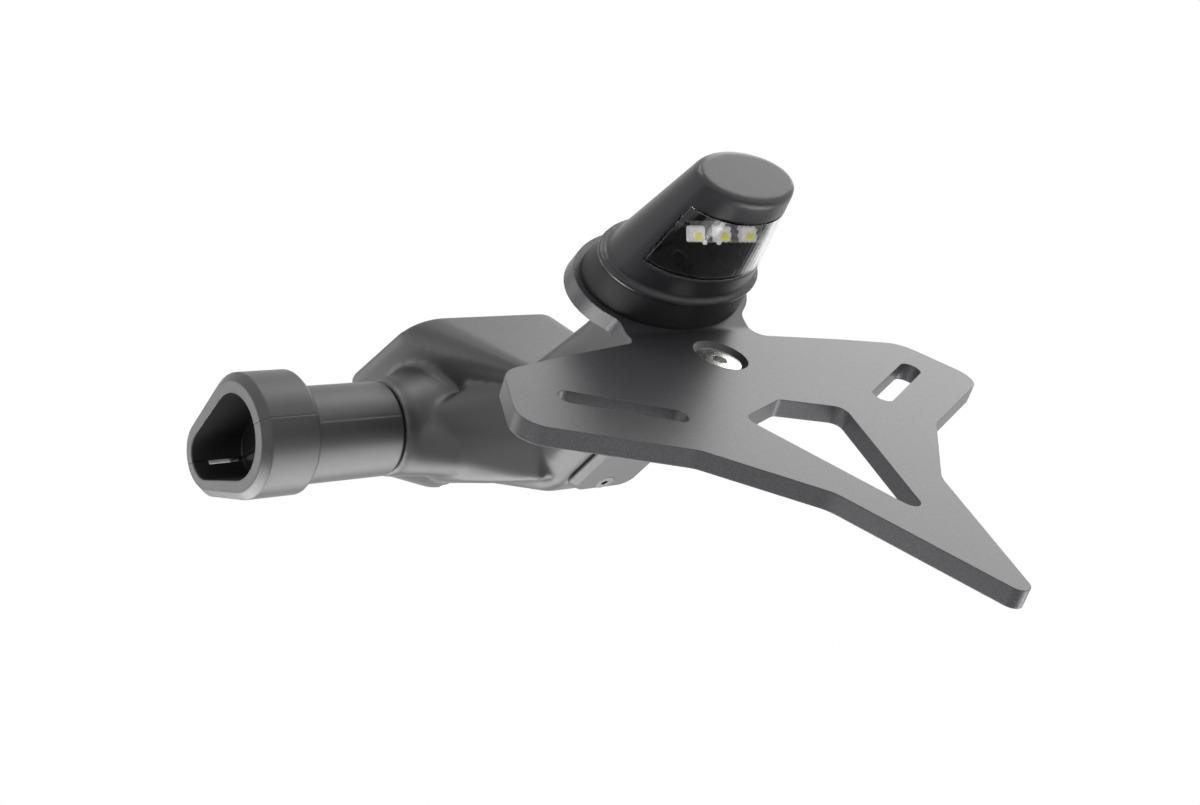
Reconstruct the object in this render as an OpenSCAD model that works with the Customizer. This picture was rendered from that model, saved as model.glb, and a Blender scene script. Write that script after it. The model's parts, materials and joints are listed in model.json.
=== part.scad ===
// Tail tidy: a number plate hanger with its lamp, carried by an arm under the tail of a motorbike.
// X points right, Y forward along the bike, Z up. The origin is the centre of the bike-side holes,
// on the top face of the subframe plate. The stalk line is the common axis of the two indicator stalks.

/* [Hub] */
// Width of the roof
roof_w = 56.5; // [54:0.5:62]
// From the stalk line back to the roof's rear edge
roof_rear = 18.7; // [17:0.1:20]
// From the stalk line to the roof's front edge
roof_front = 28; // [27:0.5:34]
// Radius of the roof's corners seen from above
roof_corner_r = 10; // [7:0.5:11]
// Height of the roof's upright edge
roof_edge_h = 3; // [2:0.5:5]
// Thickness of the moulded walls
wall_t = 3; // [2:0.25:3.5]
// Radius of the moulded edges
edge_r = 2.5; // [1.5:0.25:3]

/* [Arm] */
// Width of the arm across its upright walls
arm_w = 36; // [32:1:42]
// Drop from the roof to the arm's top
arm_drop = 29.6; // [28:0.1:32]
// Height of the arm's upright walls
arm_wall_h = 17.5; // [14:0.5:20]
// Width of the underside at the crease below the upright walls
bilge_w = 32; // [26:1:33]
// Height from the crease up to the upright walls
bilge_h = 11; // [8:0.5:13]
// Width of the flat underside
keel_w = 24.5; // [22:0.5:25]
// Height from the flat underside up to the crease
keel_h = 5; // [3:0.5:7]
// Length of the solid block behind the hanger plate
arm_block = 17; // [15:0.5:20]

/* [Stalks] */
// Distance of the stalk line behind the bike-side holes' centre
stalk_back = 5; // [4:0.5:6]
// Height of the stalk line under the roof
stalk_drop = 26.2; // [25:0.1:28]
// Upward pitch of the stalks' split plane towards the front
stalk_pitch = 7.4; // [0:0.2:12]
// From the middle of the part to the outer face of a collar
stalk_reach = 89.25; // [84:0.25:110]
// Length of a collar
collar_l = 18; // [17.5:0.5:20]
// Radius of the stalk's tube
tube_r = 13.9; // [13:0.1:14.2]
// From the middle of the part to the gap between hub and tube
boss_reach = 38.5; // [38:0.5:42]
// Width of the gap between hub and tube
boss_gap = 0.8; // [0.4:0.1:1.2]
// Radius of the collar's rear lobe
lobe_rear_r = 17.5; // [17:0.25:19]
// Distance of the rear lobe's centre behind the stalk line
lobe_rear_y = 5.4; // [4:0.2:7]
// Radius of the collar's front lobe
lobe_front_r = 11.9; // [11.5:0.1:13]
// Distance of the front lobe's centre ahead of the stalk line
lobe_front_y = 12.6; // [11:0.2:14]
// Wall of the collar round its socket
collar_wall = 5.5; // [5:0.25:6]
// Chamfer round the collar's outer face
collar_chamfer = 2.2; // [1.5:0.1:2.6]
// Rounding round the collar's inner end
collar_round = 1.5; // [0.5:0.25:2.5]
// Depth of the socket for an indicator
socket_depth = 16; // [12:0.5:16.5]
// Radius of the cable way through a stalk
stalk_bore_r = 5.5; // [4:0.25:6]
// Radius of the spigot that enters the hub
spigot_r = 9.5; // [9:0.25:10.5]
// Length of the spigot inside the hub
spigot_l = 15; // [12:0.5:17]
// Radial clearance of the spigot in the hub
spigot_clear = 0.1; // [0.05:0.05:0.2]
// Gap between the two halves of a stalk
split_gap = 0.12; // [0.05:0.01:0.3]
// Width of the relief slot in the split line of a socket
relief_w = 1.2; // [0.8:0.1:1.6]

/* [Hanger] */
// Lean of the hanger plate away from upright
hanger_tilt = 35; // [30:1:40]
// Thickness of the plate
hanger_t = 5; // [4:0.5:6]
// Distance of the hanger screw behind the stalk line
hanger_back = 101.4; // [96:0.2:110]
// Distance of the hanger screw under the roof
hanger_drop = 53.6; // [52:0.1:56]
// Half width of the plate at the wing tips
wing_x = 83.6; // [80:0.2:90]
// Rounding of the wing tips' lower corners
wing_r = 7; // [4:0.5:9]
// Length of the tongue below the screw, to its sharp point before rounding
tongue_l = 114; // [110:1:122]
// Height of the fold line above the screw
fold_y = 13.2; // [13:0.2:16]
// Angle of the folded lamp tab
fold_angle = 25; // [20:1:30]
// Inner radius of the fold
fold_r = 4; // [3:0.5:5]
// Half width of the neck below the lamp tab
neck_x = 22.5; // [20:0.5:24]
// Half width of the oval lamp tab
tab_a = 30.3; // [29.5:0.1:32]
// Half height of the oval lamp tab
tab_b = 17.9; // [17.2:0.1:19]
// Height of the oval's centre above the fold line, along the tab
tab_s = 16.5; // [16:0.1:18]
// Width of the slots for the number plate's screws
slot_w = 6; // [5.5:0.1:7]
// Distance between the round ends' centres of a slot
slot_l = 27; // [20:0.5:30]
// Distance of a slot's middle from the plate's centre line
slot_x = 50; // [48:0.5:52]
// Distance of a slot's middle below the screw
slot_y = 19.9; // [18:0.1:21]
// Slope of a slot
slot_angle = 25.8; // [20:0.2:28]
// Half width of the kite-shaped cut-out
kite_x = 18.5; // [15:0.5:20]

/* [Hanger screw] */
// Radius of the hanger screw's shank
hscrew_r = 2.95; // [2.5:0.05:3]
// Length of the hanger screw
hscrew_l = 12; // [11:1:16]
// Radius of the hanger screw's head
hscrew_head_r = 6.2; // [5.5:0.1:6.3]
// Width of the hexagon socket across its flats
hscrew_hex = 4; // [3.5:0.5:4.5]
// Radius of the countersink's rim
sink_r = 7.6; // [7:0.1:8]

/* [Lamp] */
// Half width of the lamp's rubber foot
foot_a = 28.2; // [27:0.1:28.6]
// Half height of the lamp's rubber foot
foot_b = 16; // [15:0.1:16.4]
// Height of the rubber foot
foot_h = 7.8; // [7:0.1:8.2]
// Half width of the flange round the barrel's base
flange_a = 27.9; // [27:0.1:28.4]
// Half height of the flange round the barrel's base
flange_b = 15.2; // [14.8:0.1:15.8]
// Thickness of the flange
flange_t = 2; // [1.5:0.1:2.4]
// Half width of the barrel at the flange
barrel_a = 25.9; // [25:0.1:26.2]
// Half height of the barrel at the flange
barrel_b = 13.6; // [13:0.1:13.8]
// Half width of the barrel under its cap
cap_a = 17.2; // [16.5:0.1:18]
// Half height of the barrel under its cap
cap_b = 9.3; // [9:0.1:10]
// Height of the lamp above the tab
lamp_h = 42; // [41:0.2:44]
// Drift of the barrel's axis up along the tab, from flange to cap
lamp_lean = 1.2; // [0.6:0.1:1.6]
// Wall of the lamp's housing
lamp_wall = 2.2; // [1.8:0.1:2.4]
// Height of the window's lower edge above the tab
window_low = 16; // [15:0.2:17]
// Height of the window's upper edge above the tab
window_high = 34.8; // [33:0.2:35.5]
// Gap round the lens
lens_gap = 0.15; // [0.1:0.05:0.3]
// Thickness of the lens
lens_t = 1.6; // [1.2:0.1:1.8]
// Distance of the studs from the lamp's centre line
stud_x = 16; // [14:0.5:17]
// Radius of the lamp's studs
stud_r = 2.4; // [2:0.1:2.5]
// Length of the studs behind the tab
stud_l = 7; // [6.6:0.1:7.5]
// Number of light chips
led_count = 3; // [2:1:3]
// Distance between light chips
led_pitch = 9.2; // [6:0.2:9.6]

/* [Belly cover] */
// Height of the cover below the seam
cover_t = 2.5; // [2:0.25:3]
// Gap between the cover's front end and the stalk line
cover_front = 38; // [37:1:42]
// Gap between the cover's rear end and the heel behind the hanger plate
cover_rear_gap = 1.9; // [1:0.1:6]
// Length of the cover's screws
cover_screw_l = 8; // [7:0.5:9]
// Radius of the cover's screws
cover_screw_r = 1.5; // [1.25:0.05:1.6]

/* [Subframe plate] */
// From a bike-side hole's centre to the plate's edge
sub_edge = 6; // [5:0.25:6.5]
// Thickness of the plate
sub_t = 4; // [3:0.5:5]
// Spacing of the bike-side holes across the bike
sub_pitch_x = 36; // [34:0.5:36.5]
// Spacing of the bike-side holes along the bike
sub_pitch_y = 26; // [24:0.5:26.5]
// Radius of the bike-side holes
sub_hole_r = 3.3; // [2.75:0.05:3.4]
// Radius of the loom's hole
loom_r = 6; // [5:0.25:6.5]

/* [Hidden] */

$fn = 64;
ball_fn = 16;
oval_fn = 72;
eps = 0.01;
big = 400;
slice = 0.05;
hex = 6;

// Heights of the arm's edges under the roof
wall_foot = arm_drop + arm_wall_h;
crease_drop = wall_foot + bilge_h;
keel_drop = crease_drop + keel_h;
keel_pitch = 7;
cover_seat = 0.05;
arm_root_y = 45.5;
belly_front_y = 18;
belly_front_drop = 34.6;
belly_turn_y = -30;
belly_turn_drop = keel_drop - 1.5;
arm_ball_x = arm_w / 2 - edge_r;
crease_ball_x = bilge_w / 2 - edge_r;
keel_ball_x = keel_w / 2 - edge_r;

// Hanger frame: the screw at the origin, y up along the plate, z out of its rear face
flat_top = fold_y - fold_r * tan(fold_angle / 2);
wing_top_x = wing_x - 11.1;
wing_top_y = -0.3;
wing_low_y = -22.7;
shoulder_x = 50.8;
shoulder_y = 4.2;
neck_y = flat_top - 3.4;
neck_fillet = 3.9;
tab_fillet = 3.5;
heel_r = 8;

// Lamp heights above the tab
crease_h = lamp_h - 1.7;
floor_h = foot_h + flange_t;
stud_head_t = 1.6;
washer_t = 1;
nut_t = 4.7;
nut_flats = 8;
cable_r = 3;
tab_room = 8.5;
board_t = 1.2;
window_low_x = 21.5;
window_high_x = 17.3;

// Stalk places
spigot_end = boss_reach - spigot_l;
boss_root_x = 20;
boss_root_r = 19.5;
boss_mouth_r = tube_r + 0.4;
bilge_r = 9;
bilge_wall_y = -13.5;
bilge_wall_drop = 40.5;
clamp_screw_y = 9.6;
clamp_screw_r = 1.4;
clamp_screw_x = [46, 63];
lock_r = 2.4;
lock_l = 6.5;
lock_bite = 0.9;
lock_hex_r = 1.3;
lock_hex_depth = 2;
lock_hole_l = 20;
lock_x = boss_reach - 7.5;

// Corner b between a and c, rounded with radius r
function unit(v) = v / norm(v);
function corner(a, b, c, r, steps = 8) =
    let (u = unit(a - b), w = unit(c - b), half = acos(u * w) / 2,
         reach = r / tan(half), centre = b + unit(u + w) * r / sin(half),
         p = b + u * reach - centre, q = b + w * reach - centre,
         start = atan2(p[1], p[0]), turn = (atan2(q[1], q[0]) - start + 540) % 360 - 180)
    [for (i = [0 : steps]) centre + r * [cos(start + turn * i / steps), sin(start + turn * i / steps)]];
// Outline through points [x, y, radius]
function rounded(points) =
    let (n = len(points))
    [for (i = [0 : n - 1])
        let (a = points[(i + n - 1) % n], b = points[i], c = points[(i + 1) % n])
        each (b[2] > 0 ? corner([a[0], a[1]], [b[0], b[1]], [c[0], c[1]], b[2]) : [[b[0], b[1]]])];
// The right half of an outline followed by its mirror image
function both_sides(right) =
    concat(right, [for (i = [len(right) - 1 : -1 : 0])
                      if (abs(right[i][0]) > eps) [-right[i][0], right[i][1], right[i][2]]]);

module on_both_sides() {
    children();
    mirror([1, 0, 0]) children();
}

module in_hanger() {
    translate([0, -stalk_back - hanger_back, -hanger_drop]) rotate([90 - hanger_tilt, 0, 0]) children();
}

module in_tab() {
    in_hanger() translate([0, fold_y, 0]) rotate([fold_angle, 0, 0]) children();
}

module in_keel() {
    translate([0, -stalk_back - cover_front, -keel_drop - cover_seat]) rotate([-keel_pitch, 0, 0]) children();
}

// Stalk frame: x forward along the split plane, y up, z outwards to the right
module in_stalk() {
    translate([0, -stalk_back, -stalk_drop]) rotate([stalk_pitch, 0, 0]) rotate([90, 0, 90]) children();
}

module ball(x, y, z) {
    translate([x, y, z]) sphere(r = edge_r, $fn = ball_fn);
}

module ball_pair(x, y, z) {
    ball(x, y, z);
    ball(-x, y, z);
}

// Hanger plate: the folded profile of the whole sheet, cut to the outlines of its flat part and its tab
plate_right = [[neck_x, fold_y, 0], [neck_x, neck_y, neck_fillet], [shoulder_x, shoulder_y, 60],
               [wing_top_x, wing_top_y, 10], [wing_x, wing_low_y, wing_r], [43.2, -41, 8],
               [19.6, -63.6, 10], [0, -tongue_l, 3.5]];
kite_right = [[0, -23, 3], [kite_x, -29.5, 3], [0, -78.6, 3]];

tab_joint_s = tab_s - tab_b * sqrt(1 - pow(neck_x / tab_a, 2));
tab_joint_angle = -acos(neck_x / tab_a);
tab_steps = 20;
tab_right = concat([[neck_x, -hanger_t, 0], [neck_x, tab_joint_s, tab_fillet]],
                   [for (i = [1 : tab_steps])
                       let (t = tab_joint_angle + (90 - tab_joint_angle) * (i + 1) / (tab_steps + 1))
                       [tab_a * cos(t), tab_s + tab_b * sin(t), 0]]);

module slot_cut() {
    for (side = [-1, 1])
        translate([side * slot_x, -slot_y, -hanger_t - 1]) rotate([0, 0, side * slot_angle]) {
            translate([-slot_l / 2, -slot_w / 2, 0]) cube([slot_l, slot_w, hanger_t + 2]);
            for (end = [-1, 1]) translate([end * slot_l / 2, 0, 0]) cylinder(r = slot_w / 2, h = hanger_t + 2);
        }
}

hole_clear = 0.15;
end_clear = 0.5;
sink_h = sink_r - hscrew_r - hole_clear;
module screw_sink() {
    translate([0, 0, -hanger_t - 1]) cylinder(r = hscrew_r + hole_clear, h = hanger_t + 2);
    translate([0, 0, -sink_h]) cylinder(r1 = hscrew_r + hole_clear, r2 = sink_r + 1, h = sink_h + 1);
}

fold_steps = 8;
outline_over = 3;
function tab_point(s, z) =
    [fold_y + s * cos(fold_angle) - z * sin(fold_angle), s * sin(fold_angle) + z * cos(fold_angle)];
function fold_point(r, i) =
    let (turn = fold_angle * i / fold_steps) [flat_top + r * sin(turn), fold_r - r * cos(turn)];
sheet_profile = concat(
    [[-tongue_l, 0], [-tongue_l, -hanger_t]],
    [for (i = [0 : fold_steps]) fold_point(fold_r + hanger_t, i)],
    [tab_point(tab_s + tab_b + outline_over, -hanger_t), tab_point(tab_s + tab_b + outline_over, 0)],
    [for (i = [fold_steps : -1 : 0]) fold_point(fold_r, i)]);

module through_sheet() {
    translate([0, 0, -hanger_t - 1]) linear_extrude(hanger_t + 2) children();
}

module hanger_plate() {
    color([0.27, 0.27, 0.29]) difference() {
        intersection() {
            in_hanger() rotate([90, 0, 90]) translate([0, 0, -wing_x - 1]) linear_extrude(2 * wing_x + 2)
                polygon(sheet_profile);
            union() {
                in_hanger() through_sheet() polygon(rounded(both_sides(plate_right)));
                in_tab() through_sheet() polygon(rounded(both_sides(tab_right)));
            }
        }
        in_hanger() {
            slot_cut();
            through_sheet() polygon(rounded(both_sides(kite_right)));
            screw_sink();
        }
        in_tab() {
            for (side = [-1, 1])
                translate([side * stud_x, tab_s, -hanger_t - 1]) cylinder(r = stud_r + hole_clear, h = hanger_t + 2);
            translate([0, tab_s, -hanger_t - 1]) cylinder(r = cable_r, h = hanger_t + 2);
        }
    }
}

// Countersunk screw with a hexagon socket; its head lies a little below the plate's face
hscrew_head_h = hscrew_head_r - hscrew_r;
hscrew_sunk = sink_r - hscrew_head_r - hole_clear;
hscrew_hole_end = hscrew_sunk + hscrew_l + end_clear;
heel_wall = 1.5;
heel_end = hscrew_hole_end + heel_wall;
insert_wall = 1.2;
insert_sunk = 1;
thread_clear = 0.05;
heel_end_r = hscrew_r + thread_clear + insert_wall + heel_wall + 0.1;
module hanger_screw() {
    color([0.78, 0.78, 0.8]) in_hanger() translate([0, 0, -hscrew_sunk]) difference() {
        union() {
            translate([0, 0, -hscrew_head_h]) cylinder(r1 = hscrew_r, r2 = hscrew_head_r, h = hscrew_head_h);
            translate([0, 0, -hscrew_l]) cylinder(r = hscrew_r, h = hscrew_l - hscrew_head_h + eps);
        }
        translate([0, 0, -hex_depth]) cylinder(r = hscrew_hex / 2 / cos(30), h = hex_depth + 1, $fn = hex);
    }
}

hex_depth = 2.4;
hinsert_l = hscrew_hole_end - end_clear - hanger_t - insert_sunk;
module hanger_insert() {
    color([0.75, 0.6, 0.3]) in_hanger() translate([0, 0, -hanger_t - insert_sunk - hinsert_l]) difference() {
        cylinder(r = hscrew_r + thread_clear + insert_wall, h = hinsert_l);
        translate([0, 0, -1]) cylinder(r = hscrew_r + thread_clear, h = hinsert_l + 2);
    }
}

// Spine body
module roof_block() {
    side = roof_w / 2 - roof_corner_r;
    hull() for (x = [-side, side], y = [-roof_rear + roof_corner_r, roof_front - roof_corner_r])
        translate([x, y, -roof_edge_h]) cylinder(r = roof_corner_r, h = roof_edge_h, $fn = 48);
}

module upper_hub() {
    hull() {
        roof_block();
        ball_pair(arm_ball_x, -arm_root_y, -arm_drop - edge_r);
        ball_pair(arm_ball_x, belly_front_y, -arm_drop - edge_r);
    }
}

module front_belly() {
    hull() {
        ball_pair(arm_ball_x, -cover_front, -arm_drop - edge_r);
        ball_pair(arm_ball_x, -cover_front, -wall_foot);
        ball_pair(crease_ball_x, -cover_front, -crease_drop + edge_r);
        ball_pair(keel_ball_x, -cover_front, -keel_drop + edge_r);
        ball_pair(arm_ball_x, belly_turn_y, -wall_foot);
        ball_pair(crease_ball_x, belly_turn_y, -belly_turn_drop + keel_h + edge_r);
        ball_pair(keel_ball_x, belly_turn_y, -belly_turn_drop + edge_r);
        ball_pair(arm_ball_x, belly_front_y, -arm_drop - edge_r);
        ball_pair(crease_ball_x, belly_front_y, -belly_front_drop + edge_r);
    }
}

arm_tail_y = -hanger_back - 6;
tail_rise = (-cover_front - arm_tail_y) * tan(keel_pitch);
module arm() {
    hull() {
        ball_pair(arm_ball_x, -cover_front, -arm_drop - edge_r);
        ball_pair(arm_ball_x, -cover_front, -wall_foot);
        ball_pair(crease_ball_x, -cover_front, -crease_drop + edge_r);
        ball_pair(keel_ball_x, -cover_front, -keel_drop + edge_r);
        ball_pair(arm_ball_x, arm_tail_y, -arm_drop - edge_r);
        ball_pair(arm_ball_x, arm_tail_y, -wall_foot + tail_rise);
        ball_pair(crease_ball_x, arm_tail_y, -crease_drop + edge_r + tail_rise);
        ball_pair(keel_ball_x, arm_tail_y, -keel_drop + edge_r + tail_rise);
    }
}

module heel() {
    hull() {
        translate([0, stalk_back, 0]) in_hanger() {
            translate([0, 0, -hanger_t - 1]) cylinder(r = heel_r, h = 3, $fn = 32);
            translate([0, 0, -heel_end]) cylinder(r = heel_end_r, h = 1, $fn = 32);
        }
        ball_pair(keel_ball_x, -hanger_back + 14, -keel_drop + 12);
        ball_pair(keel_ball_x, -hanger_back + 6, -keel_drop + 14);
    }
}

module bilge() {
    hull() {
        translate([boss_reach - 4, 0, -stalk_drop - boss_mouth_r + bilge_r]) rotate([0, 90, 0])
            cylinder(r = bilge_r, h = 3, $fn = 32);
        ball(crease_ball_x, belly_turn_y, -belly_turn_drop + keel_h + edge_r);
        ball(crease_ball_x, 4, -belly_front_drop - 3.5);
        ball(arm_ball_x, bilge_wall_y, -bilge_wall_drop + edge_r);
        ball(arm_ball_x, belly_turn_y, -wall_foot);
    }
}

module boss() {
    translate([boss_reach, 0, -stalk_drop]) rotate([0, -90, 0]) {
        cylinder(r = boss_mouth_r, h = 5);
        translate([0, 0, 3]) cylinder(r1 = boss_mouth_r, r2 = boss_root_r, h = boss_reach - boss_root_x - 3);
    }
}

module body_outer() {
    translate([0, -stalk_back, 0]) {
        upper_hub();
        front_belly();
        arm();
        heel();
        on_both_sides() {
            bilge();
            boss();
        }
    }
}

// Wiring chamber under the roof and channel along the arm
ceiling = sub_t + 4;
chamber_low = 35;
chamber = [[roof_w / 2 - wall_t - 0.5, -ceiling], [arm_w / 2 - wall_t, -arm_drop + 4],
           [arm_w / 2 - wall_t, -chamber_low]];
module chamber_cut() {
    chamber_l = belly_front_y - wall_t + roof_rear - wall_t - 3;
    translate([0, belly_front_y - wall_t - stalk_back, 0]) rotate([90, 0, 0]) linear_extrude(chamber_l)
        polygon([for (p = both_sides([for (c = chamber) [c[0], c[1], 0]])) [p[0], p[1]]]);
}

module channel_cut() {
    top = arm_drop + wall_t;
    rear = hanger_back - 4 - arm_block;
    translate([-arm_w / 2 + wall_t, -rear - stalk_back, -wall_foot + 1])
        cube([arm_w - 2 * wall_t, rear - 8, wall_foot - 1 - top]);
}

cover_l = (hanger_back - cover_front - heel_end * cos(hanger_tilt) - heel_end_r * sin(hanger_tilt) - cover_rear_gap)
          / cos(keel_pitch);
cover_margin = 1.5;
cover_inset = 0.4;
cover_rim_h = 0.6;
cover_screw_in = 4;
cover_hole_end = 9;
cover_hole_side = 4.5;
cover_lip_clear = 0.2;
module cover_hole(inset, low, high) {
    in_keel() translate([-keel_w / 2 + cover_hole_side + inset, -cover_l + cover_hole_end + inset, low])
        cube([keel_w - 2 * cover_hole_side - 2 * inset, cover_l - 2 * cover_hole_end - 2 * inset, high - low]);
}

module stalk_socket() {
    in_stalk() {
        translate([0, 0, spigot_end]) cylinder(r = spigot_r + spigot_clear, h = big);
        translate([0, 0, 5]) cylinder(r = stalk_bore_r, h = spigot_end);
    }
}

// The lock screw runs at 45 degrees from above and in front towards the spigot
module lock_axis() {
    in_stalk() translate([0, 0, lock_x]) rotate([0, 0, 45]) rotate([0, 90, 0]) children();
}

module roof_cuts() {
    translate([-sub_w / 2, -sub_l / 2, -sub_t]) rounded_box(sub_w, sub_l, sub_t + 1, sub_corner_r);
    bike_holes(ceiling + 1);
    translate([0, 0, -ceiling - 1]) cylinder(r = loom_r, h = ceiling + 2);
    plate_screw_places() translate([0, 0, -sub_t - pinsert_l]) cylinder(r = pinsert_r, h = pinsert_l + 1);
}

lamp_way_l = 60;
module spine_body() {
    color([0.16, 0.16, 0.17]) difference() {
        body_outer();
        roof_cuts();
        chamber_cut();
        channel_cut();
        cover_hole(0, -3, keel_drop - wall_foot + 4);
        on_both_sides() {
            stalk_socket();
            lock_axis() translate([0, 0, spigot_r]) cylinder(r = lock_r, h = lock_hole_l);
        }
        in_hanger() {
            translate([-big / 2, -big / 2, -hanger_t]) cube([big, big, big]);
            translate([0, 0, -hanger_t - insert_sunk - hinsert_l])
                cylinder(r = hscrew_r + thread_clear + insert_wall, h = big);
            translate([0, 0, -hscrew_hole_end]) cylinder(r = hscrew_r + thread_clear, h = big);
        }
        in_tab() {
            translate([-big / 2, 1, -hanger_t - tab_room]) cube([big, big, big]);
            translate([0, tab_s + 4, -lamp_way_l]) cylinder(r = cable_r, h = lamp_way_l);
        }
        in_keel() cover_screw_places() translate([0, 0, -1]) cylinder(r = cinsert_r, h = cover_screw_l - cover_t + 2);
    }
}

// Belly cover
small_insert_wall = 0.8;
cinsert_r = cover_screw_r + thread_clear + small_insert_wall;
cinsert_sunk = 0.5;
cinsert_l = cover_screw_l - cover_t - cinsert_sunk;
module cover_screw_places() {
    for (y = [-cover_screw_in, -cover_l + cover_screw_in]) translate([0, y, 0]) children();
}

cover_head_r = cover_screw_r * 1.9;
module cover_sink(extra) {
    translate([0, 0, -cover_t - 1]) cylinder(r = cover_screw_r + extra, h = cover_t + 2);
    translate([0, 0, -cover_t - eps])
        cylinder(r1 = cover_head_r + extra, r2 = cover_screw_r + extra, h = cover_head_r - cover_screw_r);
}

module belly_cover() {
    half = keel_w / 2 - cover_inset;
    color([0.17, 0.17, 0.18]) difference() {
        union() {
            in_keel() hull() {
                translate([-half, -cover_l, -cover_rim_h]) rounded_box(2 * half, cover_l, cover_rim_h, 5);
                translate([-half + cover_margin, -cover_l + cover_margin, -cover_t])
                    rounded_box(2 * (half - cover_margin), cover_l - 2 * cover_margin, cover_rim_h, 4);
            }
            cover_hole(cover_lip_clear, -eps, 2);
        }
        in_keel() cover_screw_places() cover_sink(hole_clear);
    }
}

module cover_inserts() {
    color([0.75, 0.6, 0.3]) in_keel() cover_screw_places() translate([0, 0, cinsert_sunk]) difference() {
        cylinder(r = cinsert_r, h = cinsert_l);
        translate([0, 0, -1]) cylinder(r = cover_screw_r + thread_clear, h = cinsert_l + 2);
    }
}

module cover_screws() {
    color([0.6, 0.6, 0.62]) in_keel() cover_screw_places() difference() {
        union() {
            translate([0, 0, -cover_t]) cylinder(r = cover_screw_r, h = cover_screw_l);
            translate([0, 0, -cover_t]) cylinder(r1 = cover_head_r, r2 = cover_screw_r, h = cover_head_r - cover_screw_r);
        }
        translate([0, 0, -cover_t - 1]) cylinder(r = 1.15, h = 2.1, $fn = hex);
    }
}

// Rounded box with upright rounded corners, drawn from its low corner
module rounded_box(w, l, h, r) {
    translate([r, 0, 0]) cube([w - 2 * r, l, h]);
    translate([0, r, 0]) cube([w, l - 2 * r, h]);
    for (x = [r, w - r], y = [r, l - r]) translate([x, y, 0]) cylinder(r = r, h = h);
}

// Stalks
// Outline of the collar: two round lobes and their common tangents
lobe_steps = 24;
front_wall_thinner = 0.6;
relief_low = 0.55;
relief_in = 1.7;
relief_l = 9.3;
function lobe_outline(rear_r, front_r) =
    let (lean = asin((rear_r - front_r) / (lobe_rear_y + lobe_front_y)))
    concat([for (i = [0 : lobe_steps])
               let (t = 90 - lean + (180 + 2 * lean) * i / lobe_steps)
               [-lobe_rear_y + rear_r * cos(t), rear_r * sin(t)]],
           [for (i = [0 : lobe_steps])
               let (t = lean - 90 + (180 - 2 * lean) * i / lobe_steps)
               [lobe_front_y + front_r * cos(t), front_r * sin(t)]]);

module lobe_slice(inset, z) {
    translate([0, 0, z]) linear_extrude(slice) polygon(lobe_outline(lobe_rear_r - inset, lobe_front_r - inset));
}

module stalk_right() {
    collar_in = stalk_reach - collar_l;
    difference() {
        union() {
            hull() {
                lobe_slice(collar_round, collar_in);
                lobe_slice(0, collar_in + collar_round);
                lobe_slice(0, stalk_reach - collar_chamfer);
                lobe_slice(collar_chamfer, stalk_reach - slice);
            }
            translate([0, 0, boss_reach + boss_gap]) cylinder(r = tube_r, h = collar_in - boss_reach);
            translate([0, 0, spigot_end]) cylinder(r = spigot_r, h = spigot_l + 2);
        }
        translate([0, 0, stalk_reach - socket_depth]) linear_extrude(socket_depth + 1)
            polygon(lobe_outline(lobe_rear_r - collar_wall, lobe_front_r - collar_wall + front_wall_thinner));
        translate([0, 0, spigot_end - 1]) cylinder(r = stalk_bore_r, h = big);
        translate([0, -relief_w / 2 - relief_low, stalk_reach - socket_depth + relief_in])
            cube([2 * lobe_rear_r, relief_w, relief_l]);
        for (z = clamp_screw_x) translate([clamp_screw_y, 0, z]) clamp_hole();
        in_lock_place() translate([0, 0, spigot_r - lock_bite - 0.1]) cylinder(r = lock_r, h = lock_l);
    }
}

module in_lock_place() {
    translate([0, 0, lock_x]) rotate([0, 0, 45]) rotate([0, 90, 0]) children();
}

clamp_seat_y = 6.2;
clamp_l = 12;
module clamp_hole() {
    rotate([-90, 0, 0]) {
        translate([0, 0, clamp_seat_y]) cylinder(r = 2 * clamp_screw_r, h = 20);
        translate([0, 0, clamp_seat_y - clamp_l]) cylinder(r = clamp_screw_r, h = clamp_l + 1);
    }
}

module stalk_screws() {
    color([0.6, 0.6, 0.62]) on_both_sides() in_stalk() for (z = clamp_screw_x)
        translate([clamp_screw_y, 0, z]) rotate([-90, 0, 0]) difference() {
            union() {
                translate([0, 0, clamp_seat_y - clamp_l]) cylinder(r = clamp_screw_r, h = clamp_l + eps);
                translate([0, 0, clamp_seat_y]) cylinder(r = 1.9 * clamp_screw_r, h = 2.6);
            }
            translate([0, 0, clamp_seat_y + 1.2]) cylinder(r = 1.2, h = 3, $fn = hex);
        }
}

module stalk_lock_screws() {
    color([0.3, 0.3, 0.31]) on_both_sides() lock_axis() translate([0, 0, spigot_r - lock_bite]) difference() {
        cylinder(r = lock_r, h = lock_l);
        translate([0, 0, lock_l - lock_hex_depth]) cylinder(r = lock_hex_r, h = lock_hex_depth + 1, $fn = hex);
    }
}

module stalk_half(side) {
    color([0.17, 0.17, 0.18]) in_stalk() intersection() {
        stalk_right();
        translate([-big / 2, side > 0 ? split_gap / 2 : -big - split_gap / 2, 0]) cube([big, big, big]);
    }
}

module stalk_upper_right() {
    stalk_half(1);
}

module stalk_lower_right() {
    stalk_half(-1);
}

module stalk_upper_left() {
    mirror([1, 0, 0]) stalk_half(1);
}

module stalk_lower_left() {
    mirror([1, 0, 0]) stalk_half(-1);
}

// Subframe plate
sub_w = sub_pitch_x + 2 * sub_edge;
sub_l = sub_pitch_y + 2 * sub_edge;
pscrew_r = 2;
pscrew_sunk = 0.2;
sub_clear = 0.15;
sub_corner_r = 6;
pinsert_r = pscrew_r + thread_clear + small_insert_wall;
pinsert_l = 3.4;
module bike_holes(depth) {
    for (x = [-1, 1] * sub_pitch_x / 2, y = [-1, 1] * sub_pitch_y / 2)
        translate([x, y, -depth]) cylinder(r = sub_hole_r, h = depth + 1);
}

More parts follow.
